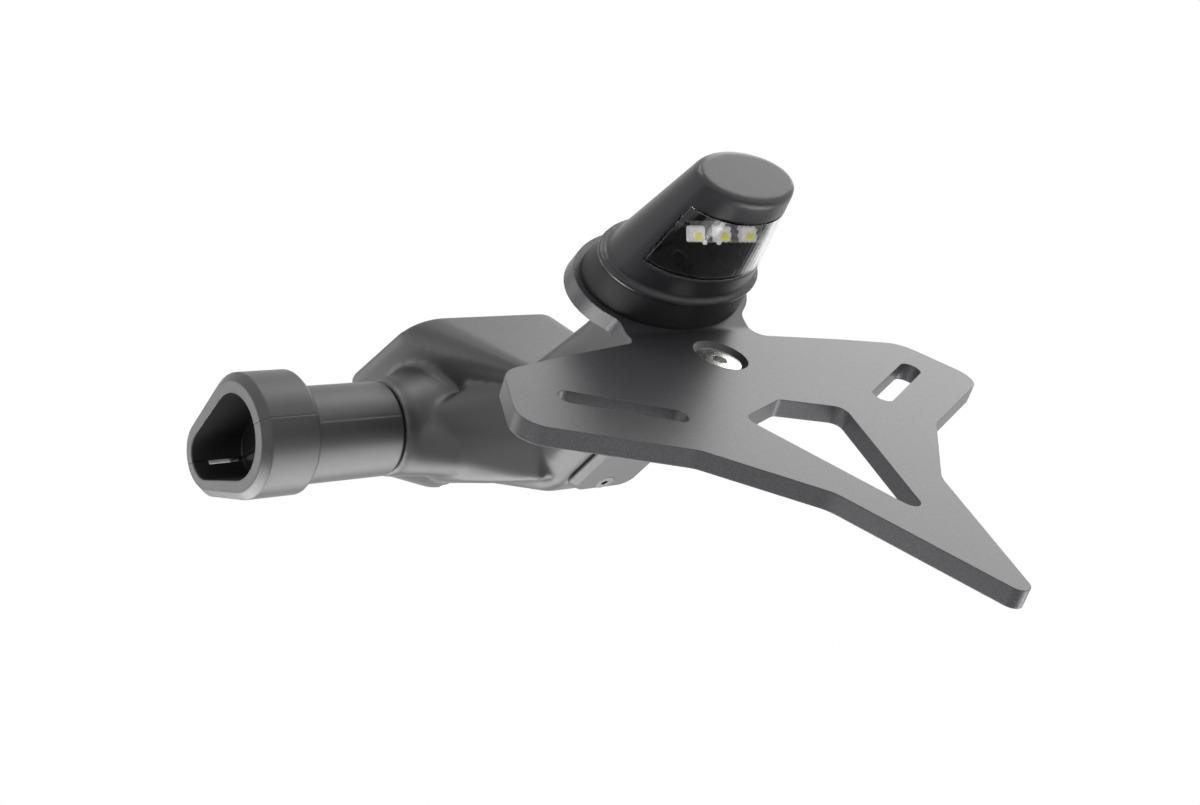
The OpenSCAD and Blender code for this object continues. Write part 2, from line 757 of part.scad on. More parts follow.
module plate_screw_places() {
    for (x = [-1, 1] * sub_pitch_x / 2) translate([x, 0, 0]) children();
}

module subframe_plate() {
    color([0.7, 0.7, 0.72]) difference() {
        translate([-sub_w / 2 + sub_clear, -sub_l / 2 + sub_clear, -sub_t])
            rounded_box(sub_w - 2 * sub_clear, sub_l - 2 * sub_clear, sub_t, sub_corner_r - sub_clear);
        bike_holes(sub_t + 1);
        translate([0, 0, -sub_t - 1]) cylinder(r = loom_r, h = sub_t + 2);
        plate_screw_places() {
            translate([0, 0, -sub_t - 1]) cylinder(r = pscrew_r + hole_clear, h = sub_t + 2);
            translate([0, 0, -pscrew_r])
                cylinder(r1 = pscrew_r + hole_clear, r2 = 2 * pscrew_r + hole_clear, h = pscrew_r + eps);
        }
    }
}

module plate_screws() {
    color([0.6, 0.6, 0.62]) plate_screw_places() difference() {
        union() {
            translate([0, 0, -sub_t - pinsert_l]) cylinder(r = pscrew_r, h = sub_t + pinsert_l - pscrew_sunk);
            translate([0, 0, -pscrew_r - pscrew_sunk]) cylinder(r1 = pscrew_r, r2 = 2 * pscrew_r, h = pscrew_r);
        }
        translate([0, 0, -1.6]) cylinder(r = 1.45, h = 2, $fn = hex);
    }
}

module plate_inserts() {
    color([0.75, 0.6, 0.3]) plate_screw_places() translate([0, 0, -sub_t - pinsert_l]) difference() {
        cylinder(r = pinsert_r, h = pinsert_l);
        translate([0, 0, -1]) cylinder(r = pscrew_r + thread_clear, h = pinsert_l + 2);
    }
}

grommet_lip = 1.5;
grommet_wall = 2;
module cable_grommet() {
    color([0.08, 0.08, 0.08]) difference() {
        union() {
            translate([0, 0, -ceiling - grommet_lip]) cylinder(r = loom_r, h = ceiling + grommet_lip - 0.2);
            translate([0, 0, -ceiling - grommet_lip]) cylinder(r = loom_r + grommet_wall, h = grommet_lip);
        }
        translate([0, 0, -ceiling - grommet_lip - 1]) cylinder(r = loom_r - grommet_wall, h = ceiling + grommet_lip + 2);
    }
}

// Lamp
foot_bead = 1.3;
lamp_rise = 0.3;
function along(h) = (h - floor_h) / (crease_h - floor_h);
function barrel_w(h) = barrel_a + (cap_a - barrel_a) * along(h);
function barrel_d(h) = barrel_b + (cap_b - barrel_b) * along(h);
function barrel_s(h) = tab_s + lamp_rise + lamp_lean * along(h);

module oval(a, b) {
    polygon([for (i = [0 : oval_fn - 1]) [a * cos(360 * i / oval_fn), b * sin(360 * i / oval_fn)]]);
}

module oval_slice(a, b, s, h) {
    translate([0, s, h]) linear_extrude(slice) oval(a, b);
}

module barrel(inset, low, high) {
    hull() for (h = [low, high - slice])
        oval_slice(barrel_w(h) - inset, barrel_d(h) - inset, barrel_s(h), h);
}

module window_zone(gap) {
    low = window_low + gap;
    high = window_high - gap;
    translate([0, barrel_s(window_low), 0]) rotate([90, 0, 0]) linear_extrude(big)
        polygon([[-window_low_x + gap, low], [window_low_x - gap, low],
                 [window_high_x - gap, high], [-window_high_x + gap, high]]);
}

module lamp_gasket() {
    color([0.07, 0.07, 0.07]) in_tab() difference() {
        hull() {
            oval_slice(foot_a, foot_b, tab_s, 0);
            oval_slice(foot_a, foot_b, tab_s, foot_bead);
            oval_slice(foot_a - 1.1, foot_b - 1.3, tab_s + lamp_rise, foot_h - slice);
        }
        for (x = [-stud_x, stud_x]) translate([x, tab_s, -1]) cylinder(r = stud_r, h = foot_h + 2);
        translate([0, tab_s, -1]) cylinder(r = cable_r, h = foot_h + 2);
    }
}

module lamp_housing() {
    color([0.12, 0.12, 0.13]) in_tab() difference() {
        union() {
            hull() {
                oval_slice(flange_a - 0.6, flange_b - 0.6, tab_s + lamp_rise, foot_h);
                oval_slice(flange_a, flange_b, tab_s + lamp_rise, foot_h + 0.6);
                oval_slice(flange_a, flange_b, tab_s + lamp_rise, floor_h - 0.6);
                oval_slice(flange_a - 0.6, flange_b - 0.6, tab_s + lamp_rise, floor_h - slice);
            }
            barrel(0, floor_h - 0.1, crease_h);
            hull() {
                oval_slice(cap_a, cap_b, barrel_s(crease_h), crease_h - 0.1);
                oval_slice(cap_a - 0.5, cap_b - 0.5, barrel_s(crease_h), lamp_h - 0.7);
                oval_slice(cap_a - 1.6, cap_b - 1.8, barrel_s(crease_h), lamp_h - slice);
            }
        }
        barrel(lamp_wall, floor_h, crease_h - 1);
        window_zone(0);
        for (x = [-stud_x, stud_x]) translate([x, tab_s, 0]) cylinder(r = stud_r, h = floor_h + 1);
        translate([0, tab_s, 0]) cylinder(r = cable_r, h = floor_h + 1);
    }
}

module lamp_lens() {
    color([0.85, 0.88, 0.9, 0.4]) in_tab() intersection() {
        difference() {
            barrel(0, window_low - 1, window_high + 1);
            barrel(lens_t, window_low - 2, window_high + 2);
        }
        window_zone(lens_gap);
    }
}

liner_gap = 0.3;
liner_t = 1;
shelf_over = 0.5;
shelf_l = 12.5;
liner_low = floor_h + stud_head_t + 0.6;
module lamp_reflector() {
    outer = lamp_wall + liner_gap;
    color([0.2, 0.2, 0.2]) {
        in_tab() difference() {
            barrel(outer, liner_low, crease_h - 2);
            barrel(outer + liner_t, floor_h, crease_h + 1);
            translate([-big / 2, -big + tab_s - 1, 0]) cube([big, big, big]);
        }
        intersection() {
            in_tab() barrel(outer, liner_low, crease_h - 2);
            in_board() translate([-big / 2, -board_l / 2 - shelf_over, board_t]) cube([big, shelf_l, liner_t]);
        }
    }
}

// The board lies on the liner's slanted shelf and faces down towards the window
board_l = 6;
board_w = 26;
board_tilt = 50;
board_h = 26.2;
board_ahead = 4.5;
led_size = [3.5, 2.8, 0.9];
module in_board() {
    in_tab() translate([0, barrel_s(board_h) - board_ahead, board_h]) rotate([-board_tilt, 0, 0]) children();
}

module lamp_board() {
    color([0.55, 0.55, 0.54]) in_board() translate([-board_w / 2, -board_l / 2, 0]) cube([board_w, board_l, board_t]);
}

module lamp_leds() {
    color([0.9, 0.85, 0.3]) in_board() for (i = [0 : led_count - 1])
        translate([(i - (led_count - 1) / 2) * led_pitch - led_size[0] / 2, -led_size[1] / 2, -led_size[2]])
            cube(led_size);
}

module lamp_studs() {
    color([0.6, 0.6, 0.62]) in_tab() for (x = [-stud_x, stud_x]) translate([x, tab_s, 0]) {
        translate([0, 0, -hanger_t - stud_l]) cylinder(r = stud_r, h = hanger_t + stud_l + floor_h + eps);
        translate([0, 0, floor_h]) cylinder(r = 2 * stud_r, h = stud_head_t);
    }
}

module lamp_washers() {
    color([0.62, 0.62, 0.64]) in_tab() for (x = [-stud_x, stud_x])
        translate([x, tab_s, -hanger_t - washer_t]) difference() {
            cylinder(r = 2.1 * stud_r, h = washer_t);
            translate([0, 0, -1]) cylinder(r = stud_r + hole_clear, h = washer_t + 2);
        }
}

module lamp_nuts() {
    color([0.66, 0.66, 0.68]) in_tab() for (x = [-stud_x, stud_x])
        translate([x, tab_s, -hanger_t - washer_t - nut_t]) difference() {
            cylinder(r = nut_flats / 2 / cos(30), h = nut_t, $fn = hex);
            translate([0, 0, -1]) cylinder(r = stud_r, h = nut_t + 2);
        }
}

hanger_plate();
hanger_screw();
hanger_insert();
spine_body();
belly_cover();
cover_inserts();
cover_screws();
stalk_upper_left();
stalk_lower_left();
stalk_upper_right();
stalk_lower_right();
stalk_screws();
stalk_lock_screws();
subframe_plate();
plate_screws();
plate_inserts();
cable_grommet();
lamp_gasket();
lamp_housing();
lamp_lens();
lamp_reflector();
lamp_board();
lamp_leds();
lamp_studs();
lamp_washers();
lamp_nuts();
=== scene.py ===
import json
import math

import bmesh
import bpy
from mathutils import Matrix, Vector


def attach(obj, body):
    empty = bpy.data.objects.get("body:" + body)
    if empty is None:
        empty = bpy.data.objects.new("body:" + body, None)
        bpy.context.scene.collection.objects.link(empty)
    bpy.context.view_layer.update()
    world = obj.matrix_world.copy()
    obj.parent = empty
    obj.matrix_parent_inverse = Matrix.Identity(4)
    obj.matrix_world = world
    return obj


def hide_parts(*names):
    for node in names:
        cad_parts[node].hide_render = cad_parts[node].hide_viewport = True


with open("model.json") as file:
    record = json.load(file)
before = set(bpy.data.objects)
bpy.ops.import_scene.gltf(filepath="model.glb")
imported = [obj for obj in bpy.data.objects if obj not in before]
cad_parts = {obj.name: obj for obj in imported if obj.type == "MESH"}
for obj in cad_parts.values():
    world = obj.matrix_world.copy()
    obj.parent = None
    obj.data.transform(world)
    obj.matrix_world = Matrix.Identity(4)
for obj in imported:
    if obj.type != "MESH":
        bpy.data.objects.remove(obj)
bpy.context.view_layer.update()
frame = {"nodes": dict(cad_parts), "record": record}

MM = 0.001
MM_PER_M = 1000

# Places from the part's source, in millimetres and degrees
STALK_BACK = 5.0
HANGER_BACK = 101.4
HANGER_DROP = 53.6
HANGER_TURN = 55.0
FOLD_Y = 13.2
FOLD_ANGLE = 25.0
BOARD_H = 26.2
BOARD_S = 12.945
BOARD_TILT = 50.0
LED_PITCH = 9.2
LED_COUNT = 3

# Places behind the lamp's window, in the board's frame
CARRIER_Y = -1.3
CARRIER_T = 1.2
CARRIER_HALF = 13.0
CARRIER_LOW = -2.6
CARRIER_TOP = 2.8
CARRIER_CORNER = 0.3
LED_SHIFT = -2.0
CUP_AT = (-0.3, -0.4)
SPOT_AT = (0.2, -0.9)
PIN_XS = (-8.2, -3.2)
PIN_Z = -2.6
PIN_LOW = (-0.6, -0.5, -0.6)
PIN_HIGH = (0.6, 0.5, 0)
PIN_CORNER = 0.3
TRIM_BEVEL = 0.15
BEVEL_SEGMENTS = 2
SHELF_CUT = -1.25
SHELF_LIP = -4.0
SHELF_Z = (1.1, 2.3)


def turn_x(degrees):
    return Matrix.Rotation(math.radians(degrees), 4, "X")


IN_HANGER = Matrix.Translation((0, -STALK_BACK - HANGER_BACK, -HANGER_DROP)) @ turn_x(HANGER_TURN)
IN_TAB = IN_HANGER @ Matrix.Translation((0, FOLD_Y, 0)) @ turn_x(FOLD_ANGLE)
IN_BOARD = IN_TAB @ Matrix.Translation((0, BOARD_S, BOARD_H)) @ turn_x(-BOARD_TILT)
TO_METRES = Matrix.Scale(MM, 4)


# The mix node's sockets for colours: factor, A and B, and its result
MIX_INPUTS = (0, 6, 7)
MIX_OUTPUT = 2
BEVEL_SAMPLES = 6
# How nearly the softened normal agrees with the face: below the first it is all edge, above the second none
EDGE_SPAN = (0.80, 0.985)


def shade(colour, factor):
    return tuple(c * factor for c in colour)


class Nodes:
    """A material's node tree, with short calls for what the materials share."""

    def __init__(self, name):
        self.mat = bpy.data.materials.new(name)
        self.mat.use_nodes = True
        self.tree = self.mat.node_tree
        self.bsdf = self.tree.nodes["Principled BSDF"]
        coord = self.add("ShaderNodeTexCoord")
        scale = self.add("ShaderNodeMapping")
        scale.inputs["Scale"].default_value = (MM_PER_M, MM_PER_M, MM_PER_M)
        self.link(coord.outputs["Object"], scale.inputs["Vector"])
        self.mm = scale.outputs["Vector"]

    def add(self, kind, **values):
        node = self.tree.nodes.new(kind)
        for key, value in values.items():
            setattr(node, key, value)
        return node

    def link(self, a, b):
        self.tree.links.new(a, b)

    def noise(self, scale, detail=2.0, rough=0.5, stretch=None):
        """Noise with scale features a millimetre."""
        node = self.add("ShaderNodeTexNoise")
        node.inputs["Scale"].default_value = scale
        node.inputs["Detail"].default_value = detail
        node.inputs["Roughness"].default_value = rough
        source = self.mm
        if stretch:
            mapping = self.add("ShaderNodeMapping")
            mapping.inputs["Scale"].default_value = stretch
            self.link(source, mapping.inputs["Vector"])
            source = mapping.outputs["Vector"]
        self.link(source, node.inputs["Vector"])
        return node.outputs["Fac"]

    def ramp(self, fac, stops):
        """A blend through stops, each a place with a colour or a grey."""
        node = self.add("ShaderNodeValToRGB")
        elements = node.color_ramp.elements
        while len(elements) > len(stops):
            elements.remove(elements[-1])
        while len(elements) < len(stops):
            elements.new(1.0)
        for element, (place, colour) in zip(elements, stops):
            element.position = place
            rgb = colour if isinstance(colour, tuple) else (colour, colour, colour)
            element.color = (*rgb, 1.0)
        self.link(fac, node.inputs["Fac"])
        return node.outputs["Color"]

    def span(self, fac, low, high):
        """Brings a value from 0 to 1 into low to high."""
        node = self.add("ShaderNodeMapRange")
        node.inputs["To Min"].default_value = low
        node.inputs["To Max"].default_value = high
        self.link(fac, node.inputs["Value"])
        return node.outputs["Result"]

    def mix(self, fac, a, b, blend="MIX"):
        node = self.add("ShaderNodeMix", data_type="RGBA", blend_type=blend)
        fac_in, a_in, b_in = (node.inputs[i] for i in MIX_INPUTS)
        self.fill(fac_in, fac)
        self.fill(a_in, a)
        self.fill(b_in, b)
        return node.outputs[MIX_OUTPUT]

    def soft_edge(self, radius_mm):
        node = self.add("ShaderNodeBevel", samples=BEVEL_SAMPLES)
        node.inputs["Radius"].default_value = radius_mm * MM
        return node.outputs["Normal"]

    def highlit_worn_edge(self, radius_mm):
        """0 on flat faces, 1 close to an edge: the mask for the lighter edges, a painted edge highlight
        together with wear.
        """
        bevel = self.soft_edge(radius_mm)
        geometry = self.add("ShaderNodeNewGeometry")
        dot = self.add("ShaderNodeVectorMath", operation="DOT_PRODUCT")
        self.link(bevel, dot.inputs[0])
        self.link(geometry.outputs["Normal"], dot.inputs[1])
        node = self.add("ShaderNodeMapRange")
        node.inputs["From Min"].default_value = EDGE_SPAN[1]
        node.inputs["From Max"].default_value = EDGE_SPAN[0]
        self.link(dot.outputs["Value"], node.inputs["Value"])
        return node.outputs["Result"]

    def bump(self, heights, normal):
        """Adds reliefs, each a height, a strength and a depth in millimetres, to a normal."""
        for height, strength, distance_mm in heights:
            node = self.add("ShaderNodeBump")
            node.inputs["Strength"].default_value = strength
            node.inputs["Distance"].default_value = distance_mm * MM
            self.link(height, node.inputs["Height"])
            self.link(normal, node.inputs["Normal"])
            normal = node.outputs["Normal"]
        self.link(normal, self.bsdf.inputs["Normal"])

    def fill(self, socket, value):
        """Links a socket, or sets it to a colour or a number."""
        if isinstance(value, bpy.types.NodeSocket):
            self.link(value, socket)
        elif isinstance(value, tuple):
            socket.default_value = (*value, 1.0)
        else:
            socket.default_value = value

    def set(self, **values):
        for key, value in values.items():
            self.fill(self.bsdf.inputs[key.replace("_", " ")], value)


def moulded(name, colour, roughness, radius_mm, grain=0.05, specular=0.6):
    """Satin moulded plastic: fine grain, faint flow marks and softened edges, lightened by a painted edge
    highlight and slight rubbing wear.
    """
    n = Nodes(name)
    fine = n.noise(scale=3.2, detail=3.0, rough=0.6)
    broad = n.noise(scale=0.035, detail=3.0, rough=0.55)
    tone = n.ramp(broad, [(0.3, shade(colour, 0.86)), (0.7, shade(colour, 1.14))])
    # Lighter edge colour: a painted edge highlight together with slight rubbing wear.
    rubbed_and_highlit = tuple(c * 1.9 + 0.01 for c in colour)
    edge = n.highlit_worn_edge(radius_mm=0.5)
    n.set(Base_Color=n.mix(n.span(edge, 0.0, 0.35), tone, rubbed_and_highlit),
          Roughness=n.span(n.noise(scale=0.6), roughness - 0.05, roughness + 0.06),
          Specular_IOR_Level=specular)
    n.bump([(fine, grain, 0.05)], n.soft_edge(radius_mm))
    return n.mat


def coated_plate():
    """Fine textured powder coat: light and dark flecks, with brighter edges from a painted edge highlight and
    wear.
    """
    n = Nodes("coated_plate")
    speck = n.noise(scale=2.4, rough=0.7)
    fine = n.noise(scale=5.5, rough=0.6)
    broad = n.noise(scale=0.02)
    base = n.ramp(broad, [(0.3, (0.042, 0.042, 0.0455)), (0.7, (0.052, 0.052, 0.056))])
    flecks = n.ramp(speck, [(0.38, 0.72), (0.52, 1.0), (0.68, 1.4)])
    tone = n.mix(1.0, base, flecks, "MULTIPLY")
    # Lighter grey at the edges: a painted edge highlight together with wear.
    edge = n.highlit_worn_edge(radius_mm=0.35)
    n.set(Base_Color=n.mix(n.span(edge, 0.0, 0.5), tone, (0.2, 0.2, 0.21)),
          Roughness=n.span(fine, 0.3, 0.46), Specular_IOR_Level=0.6)
    n.bump([(speck, 0.35, 0.06), (fine, 0.2, 0.03)], n.soft_edge(0.35))
    return n.mat


def metal(name, colour, roughness, stretch=(1, 1, 1)):
    """Turned or brushed metal with fine lines."""
    n = Nodes(name)
    lines = n.noise(scale=6.0, detail=3.0, rough=0.6, stretch=stretch)
    cloud = n.noise(scale=0.4)
    n.set(Base_Color=n.ramp(lines, [(0.3, shade(colour, 0.8)), (0.6, colour)]), Metallic=1.0,
          Roughness=n.span(cloud, roughness - 0.06, roughness + 0.1))
    n.bump([(lines, 0.12, 0.02)], n.soft_edge(0.15))
    return n.mat


def rubber():
    n = Nodes("soft_rubber")
    fine = n.noise(scale=2.6, detail=3.0, rough=0.65)
    broad = n.noise(scale=0.08)
    n.set(Base_Color=n.ramp(broad, [(0.3, (0.012, 0.012, 0.012)), (0.7, (0.022, 0.022, 0.023))]),
          Roughness=n.span(broad, 0.5, 0.66), Specular_IOR_Level=0.4)
    n.bump([(fine, 0.18, 0.04)], n.soft_edge(0.5))
    return n.mat


def lens():
    n = Nodes("clear_lens")
    wave = n.noise(scale=0.12, detail=1.0)
    tint = n.noise(scale=0.05)
    n.set(Base_Color=n.ramp(tint, [(0.3, (0.97, 0.985, 0.99)), (0.7, (1.0, 1.0, 1.0))]),
          Roughness=n.span(wave, 0.0, 0.02), IOR=1.49, Transmission_Weight=1.0)
    n.bump([(wave, 0.08, 0.3)], n.soft_edge(0.2))
    return n.mat


def liner():
    n = Nodes("lamp_liner")
    fine = n.noise(scale=1.5)
    n.set(Base_Color=n.ramp(fine, [(0.3, (0.006, 0.006, 0.007)), (0.7, (0.012, 0.012, 0.014))]),
          Roughness=n.span(fine, 0.12, 0.22))
    n.bump([(fine, 0.05, 0.05)], n.soft_edge(0.3))
    return n.mat


def board():
    """Lacquered circuit board with faint tracks."""
    n = Nodes("circuit_board")
    fine = n.noise(scale=3.0)
    tracks = n.noise(scale=0.5, detail=1.0, rough=0.3, stretch=(1, 3, 3))
    on_track = n.ramp(tracks, [(0.49, 0.0), (0.53, 1.0)])
    n.set(Base_Color=n.mix(on_track, (0.2, 0.2, 0.2), (0.29, 0.29, 0.28)),
          Roughness=n.span(fine, 0.3, 0.42))
    n.bump([(tracks, 0.1, 0.03)], n.soft_edge(0.1))
    return n.mat


def chip(name, colour, roughness=0.3, painted_glow=0.0):
    """A light chip's gel or ceramic. The glow is painted light: it stands in for light that the lens would
    pass.
    """
    n = Nodes(name)
    n.set(Emission_Color=colour, Emission_Strength=painted_glow)
    fine = n.noise(scale=4.0)
    n.set(Base_Color=n.ramp(fine, [(0.3, shade(colour, 0.88)), (0.7, colour)]),
          Roughness=n.span(fine, roughness - 0.05, roughness + 0.08))
    n.bump([(fine, 0.08, 0.03)], n.soft_edge(0.1))
    return n.mat


BLACK_PLASTIC = (0.022, 0.022, 0.0235)
MATERIALS = {
    "coated_plate": coated_plate(),
    "bright_steel": metal("bright_steel", (0.72, 0.71, 0.69), 0.24),
    "dark_screw": metal("dark_screw", (0.2, 0.2, 0.21), 0.36),
    "brass_insert": metal("brass_insert", (0.72, 0.5, 0.2), 0.3),
    "body_plastic": moulded("body_plastic", BLACK_PLASTIC, 0.42, radius_mm=0.4, specular=0.85),
    "stalk_plastic": moulded("stalk_plastic", BLACK_PLASTIC, 0.4, radius_mm=0.8, specular=0.85),
    "plate_alloy": metal("plate_alloy", (0.6, 0.6, 0.62), 0.34, stretch=(1, 14, 14)),
    "soft_rubber": rubber(),
    "lamp_plastic": moulded("lamp_plastic", (0.02, 0.02, 0.0235), 0.34, radius_mm=0.4, grain=0.04),
    "clear_lens": lens(),
    "lamp_liner": liner(),
    "circuit_board": board(),
    "light_chip": chip("light_chip", (0.8, 0.72, 0.12)),
}
# What shows behind the window. The white cups, pins and yellow gel spots carry a painted glow of 0.3,
# standing in for light that the lens would pass.
WHITE_CERAMIC = chip("white_ceramic", (0.8, 0.8, 0.78), 0.35, painted_glow=0.3)
YELLOW_GEL = chip("yellow_gel", (0.84, 0.78, 0.06), 0.25, painted_glow=0.3)


def dress(obj, mat):
    """Gives a whole object one material."""
    obj.data.materials.clear()
    obj.data.materials.append(mat)
    for polygon in obj.data.polygons:
        polygon.material_index = 0


for entry in frame["record"]["subparts"]:
    dress(frame["nodes"][entry["node"]], MATERIALS[entry["material_slot"]])


def make(name, mesh_maker, mat, place, bevel_mm=0.0):
    """Makes a piece that rides on the part, from a maker that works in millimetres."""
    mesh = bpy.data.meshes.new(name)
    bm = bmesh.new()
    mesh_maker(bm)
    bmesh.ops.transform(bm, matrix=TO_METRES @ place, verts=bm.verts)
    bmesh.ops.recalc_face_normals(bm, faces=bm.faces)
    bm.to_mesh(mesh)
    bm.free()
    obj = bpy.data.objects.new(name, mesh)
    bpy.context.scene.collection.objects.link(obj)
    mesh.materials.append(mat)
    if bevel_mm:
        modifier = obj.modifiers.new("soft", "BEVEL")
        modifier.width = bevel_mm * MM
        modifier.segments = BEVEL_SEGMENTS
        modifier.limit_method = "ANGLE"
    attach(obj, "root")
    return obj


def copied(name, node, mat):
    """A free copy of a CAD piece that stands in for it."""
    obj = bpy.data.objects.new(name, frame["nodes"][node].data.copy())
    bpy.context.scene.collection.objects.link(obj)
    dress(obj, mat)
    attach(obj, "root")
    return obj


def skin(bm, loops):
    """Skins a list of closed loops of points and caps the two ends."""
    rows = [[bm.verts.new(p) for p in loop] for loop in loops]
    count = len(rows[0])
    for a, b in zip(rows, rows[1:]):
        for i in range(count):
            bm.faces.new((a[i], a[(i + 1) % count], b[(i + 1) % count], b[i]))
    bm.faces.new(list(reversed(rows[0])))
    bm.faces.new(rows[-1])


CORNER_STEPS = 4


def rounded_loop(half_x, half_y, radius, z):
    """A rectangle's outline with round corners, at height z."""
    points = []
    for cx, cy, start in ((1, 1, 0), (-1, 1, 90), (-1, -1, 180), (1, -1, 270)):
        for i in range(CORNER_STEPS + 1):
            angle = math.radians(start + 90 * i / CORNER_STEPS)
            points.append(Vector((cx * (half_x - radius) + radius * math.cos(angle),
                                  cy * (half_y - radius) + radius * math.sin(angle), z)))
    return points


def block(low, high, corner):
    """Gives a maker for a box with rounded upright corners."""
    half = [(b - a) / 2 for a, b in zip(low, high)]
    middle = Vector(((low[0] + high[0]) / 2, (low[1] + high[1]) / 2, 0))

    def build(bm):
        skin(bm, [[p + middle for p in rounded_loop(half[0], half[1], corner, z)]
                  for z in (low[2], high[2])])
    return build


def stacked(outlines):
    """Gives a maker for a piece skinned through round-cornered outlines."""
    def build(bm):
        skin(bm, [rounded_loop(*outline) for outline in outlines])
    return build


# Outlines from the foot on: half width, half depth, corner radius and height, in millimetres
# The cup's foot, outer wall, rim and floor
CUP = ((2.9, 2.0, 0.6, 0.0), (2.8, 1.9, 0.6, -0.9), (2.4, 1.5, 0.6, -1.15), (1.9, 1.1, 0.6, -0.7))
# The slightly domed gel on a light chip
SPOT = ((1.25, 0.85, 0.4, -0.71), (1.2, 0.8, 0.4, -1.0), (0.8, 0.5, 0.3, -1.1))


# The light carrier with its cups, chips and pins, behind the window
ON_CARRIER = Matrix.Translation((0, CARRIER_Y, 0))
FACING_OUT = ON_CARRIER @ turn_x(-90)


def on_board(x, z):
    return IN_BOARD @ Matrix.Translation((x, 0, z)) @ FACING_OUT


carrier_block = block((-CARRIER_HALF, CARRIER_LOW, -CARRIER_T),
                      (CARRIER_HALF, CARRIER_TOP, 0), CARRIER_CORNER)
carrier = make("light_carrier", carrier_block, MATERIALS["circuit_board"],
               IN_BOARD @ ON_CARRIER @ turn_x(90), TRIM_BEVEL)
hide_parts("lamp_board")
for i in range(LED_COUNT):
    x = (i - (LED_COUNT - 1) / 2) * LED_PITCH + LED_SHIFT
    cup_place = on_board(x + CUP_AT[0], CUP_AT[1])
    spot_place = on_board(x + SPOT_AT[0], SPOT_AT[1])
    light_cup = make(f"light_cup_{i + 1}", stacked(CUP), WHITE_CERAMIC, cup_place)
    make(f"light_spot_{i + 1}", stacked(SPOT), YELLOW_GEL, spot_place)
    if i == 0:
        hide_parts("lamp_leds")
for i, x in enumerate(PIN_XS):
    make(f"light_pin_{i + 1}", block(PIN_LOW, PIN_HIGH, PIN_CORNER), WHITE_CERAMIC, on_board(x, PIN_Z),
         TRIM_BEVEL)

# The tray's shelf ends behind the light carrier
tray = copied("lamp_tray", "lamp_reflector", MATERIALS["lamp_liner"])
from_board = TO_METRES @ IN_BOARD
to_board = from_board.inverted()
for vertex in tray.data.vertices:
    place = to_board @ vertex.co
    if SHELF_Z[0] < place.z < SHELF_Z[1] and SHELF_LIP < place.y < SHELF_CUT:
        place.y = SHELF_CUT
        vertex.co = from_board @ place
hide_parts("lamp_reflector")


# The plate and the stalk shells, with the facets of their curves shaded as one surface
SMOOTH_UNDER = math.radians(42)
WELD_MM = 0.002


def smoothed(node, slot_name):
    obj = copied(node + "_shell", node, MATERIALS[slot_name])
    mesh = obj.data
    bm = bmesh.new()
    bm.from_mesh(mesh)
    bmesh.ops.remove_doubles(bm, verts=bm.verts, dist=WELD_MM * MM)
    bm.to_mesh(mesh)
    bm.free()
    for name in ("custom_normal", "sharp_edge", "sharp_face"):
        if name in mesh.attributes:
            mesh.attributes.remove(mesh.attributes[name])
    mesh.shade_smooth()
    mesh.set_sharp_from_angle(angle=SMOOTH_UNDER)
    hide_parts(node)


smoothed("hanger_plate", "coated_plate")
for side in ("left", "right"):
    for half in ("upper", "lower"):
        smoothed(f"stalk_{half}_{side}", "stalk_plastic")


# The body and the lamp housing with soft blends, made from the CAD pieces with fillings joined on
VOXEL_MM = 0.8
BODY_SMOOTHING = 20
LAMP_VOXEL_MM = 0.42
LAMP_SMOOTHING = 5
SMOOTH_FACTOR = 0.5


def add_hull(bm, points):
    """Adds the convex hull of points in millimetres."""
    verts = [bm.verts.new(Vector(p) * MM) for p in points]
    made = bmesh.ops.convex_hull(bm, input=verts)
    unused = set(made["geom_interior"]) | set(made["geom_unused"])
    bmesh.ops.delete(bm, geom=[v for v in verts if v in unused], context="VERTS")


def both_sides(points):
    return [points, [(-x, y, z) for x, y, z in points]]


def blended(name, node, slot_name, voxel_mm, rounds, fillings):
    obj = copied(name, node, MATERIALS[slot_name])
    bm = bmesh.new()
    bm.from_mesh(obj.data)
    for points in fillings:
        add_hull(bm, points)
    bmesh.ops.recalc_face_normals(bm, faces=bm.faces)
    bm.to_mesh(obj.data)
    bm.free()
    remesh = obj.modifiers.new("even", "REMESH")
    remesh.mode = "VOXEL"
    remesh.voxel_size = voxel_mm * MM
    remesh.use_smooth_shade = True
    smooth = obj.modifiers.new("blend", "SMOOTH")
    smooth.factor = SMOOTH_FACTOR
    smooth.iterations = rounds
    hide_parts(node)


# The left side of the hub between stalk boss, wall and belly
# BOSS_REAR began as places measured on the solids and KEEL_EDGE as the photo's lower outline
# Both were then moved a little, and INNER_EDGE repeats some of their numbers
BOSS_EDGE = [(-30.0, -20.6, -28.0), (-30.0, -21.6, -35.0), (-30.0, -18.0, -42.0), (-29.0, -8.0, -44.8)]
BOSS_REAR = [(-24.5, -22.6, -26.3), (-23.6, -22.9, -31.2), (-25.5, -27.4, -40.9), (-24.0, -28.4, -45.0)]
WALL_EDGE = [(-18.2, -33.0, -23.0), (-18.2, -47.0, -35.0), (-18.0, -47.0, -50.0), (-17.0, -42.0, -61.0)]
KEEL_EDGE = [(-20.0, -30.1, -56.2), (-21.0, -19.9, -51.6), (-22.5, -9.3, -47.1), (-23.5, -3.9, -44.8)]
INNER_X = -14.0
INNER_EDGE = [(INNER_X, y, z) for y, z in ((-22.6, -26.3), (-33.0, -23.0), (-47.0, -35.0), (-42.0, -60.0),
                                           (-3.9, -44.0))]
HUB_SIDE = BOSS_EDGE + BOSS_REAR + WALL_EDGE + KEEL_EDGE + INNER_EDGE

# The arm's end, carried up to the plate's fold: set from heights measured on the solids
ARM_HALF = 17.9
ARM_END_PROFILE = [(-81.0, -30.2), (-91.3, -30.2), (-93.6, -44.0), (-93.4, -47.0), (-81.0, -47.0)]
ARM_END = [(x, y, z) for x in (-ARM_HALF, ARM_HALF) for y, z in ARM_END_PROFILE]

